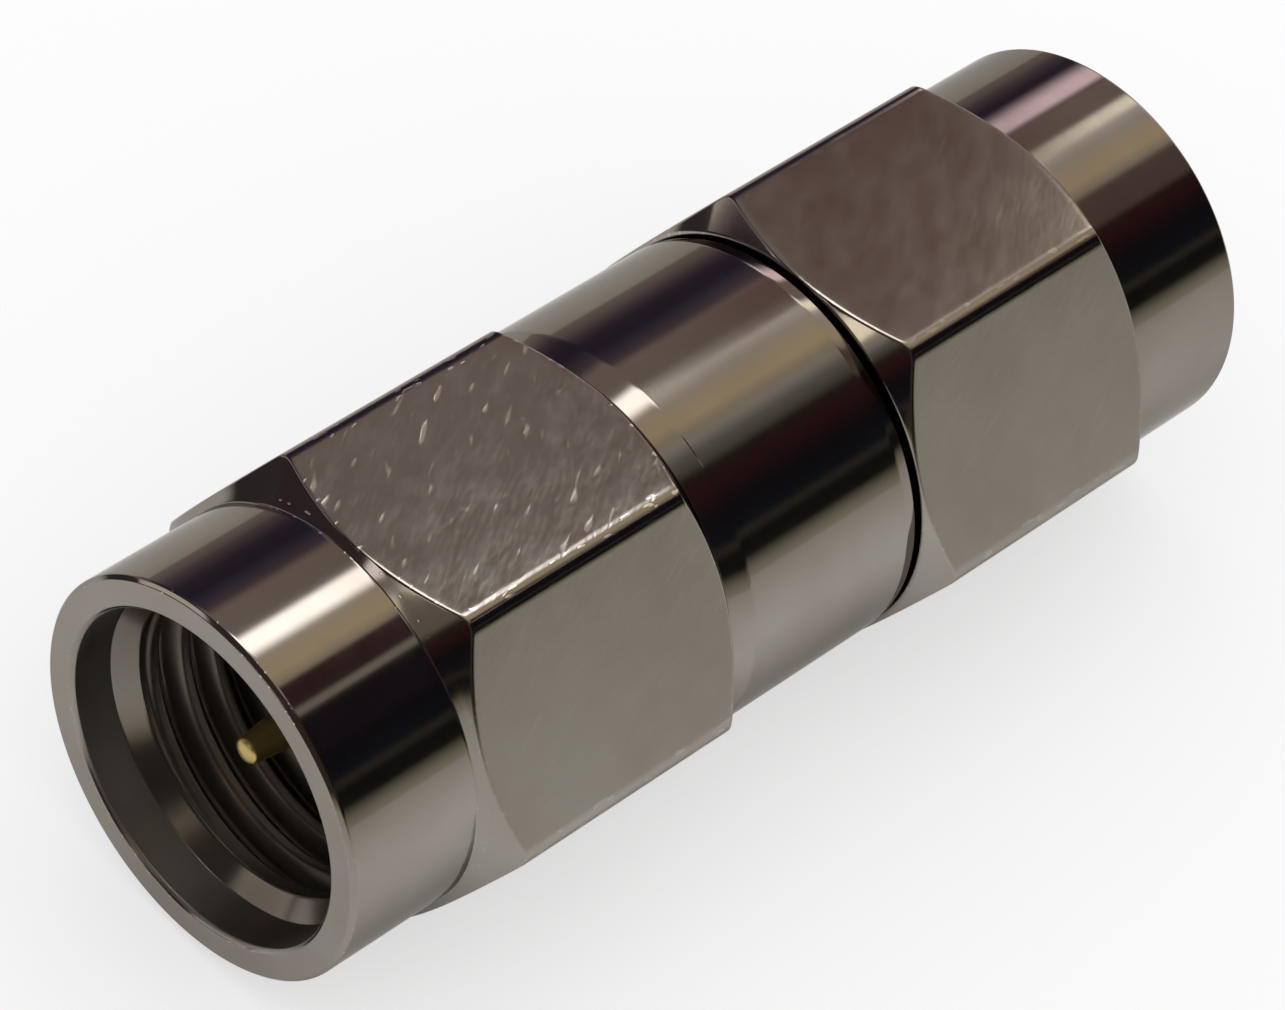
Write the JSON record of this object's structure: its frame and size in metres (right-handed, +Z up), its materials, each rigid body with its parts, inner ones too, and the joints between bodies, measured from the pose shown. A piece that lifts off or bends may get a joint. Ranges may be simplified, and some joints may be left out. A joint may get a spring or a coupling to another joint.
{
  "type": "coaxial adapter",
  "caption": "Straight coaxial adapter, plug to plug: a turned body with a captive hexagon coupling nut, threaded inside, and a centre pin at each end.",
  "frame": {"origin": "on the table under the middle of the part, which lies on its nuts' flats", "axes": "+X along the connector's axis to the right end, +Z up"},
  "size_m": [0.0222, 0.009, 0.008],
  "materials": {
    "nickel_body": "bright nickel plate",
    "nickel_nut": "bright nickel plate, lightly marked flats",
    "spring_bronze": "satin",
    "silicone": "matte",
    "fluoropolymer": "waxy",
    "gold_plate": "satin gold plate"
  },
  "bodies": {
    "core": {"body": "nickel_body", "left_gasket": "silicone", "right_gasket": "silicone", "left_insulator": "fluoropolymer", "right_insulator": "fluoropolymer", "centre_contact": "gold_plate"},
    "left_ring": {"left_snap_ring": "spring_bronze"},
    "left_nut": {"left_coupling_nut": "nickel_nut"},
    "right_ring": {"right_snap_ring": "spring_bronze"},
    "right_nut": {"right_coupling_nut": "nickel_nut"}
  },
  "joints": [
    {"name": "left_nut_float", "type": "slide", "parent": "core", "child": "left_ring", "axis": [-1, 0, 0], "range_m": [-0.0001, 0.0001]},
    {"name": "left_nut_turn", "type": "hinge", "parent": "left_ring", "child": "left_nut", "pos_m": [-0.004, 0, 0.004], "axis": [-1, 0, 0], "continuous": true},
    {"name": "right_nut_float", "type": "slide", "parent": "core", "child": "right_ring", "axis": [1, 0, 0], "range_m": [-0.0001, 0.0001]},
    {"name": "right_nut_turn", "type": "hinge", "parent": "right_ring", "child": "right_nut", "pos_m": [0.004, 0, 0.004], "axis": [1, 0, 0], "continuous": true}
  ]
}
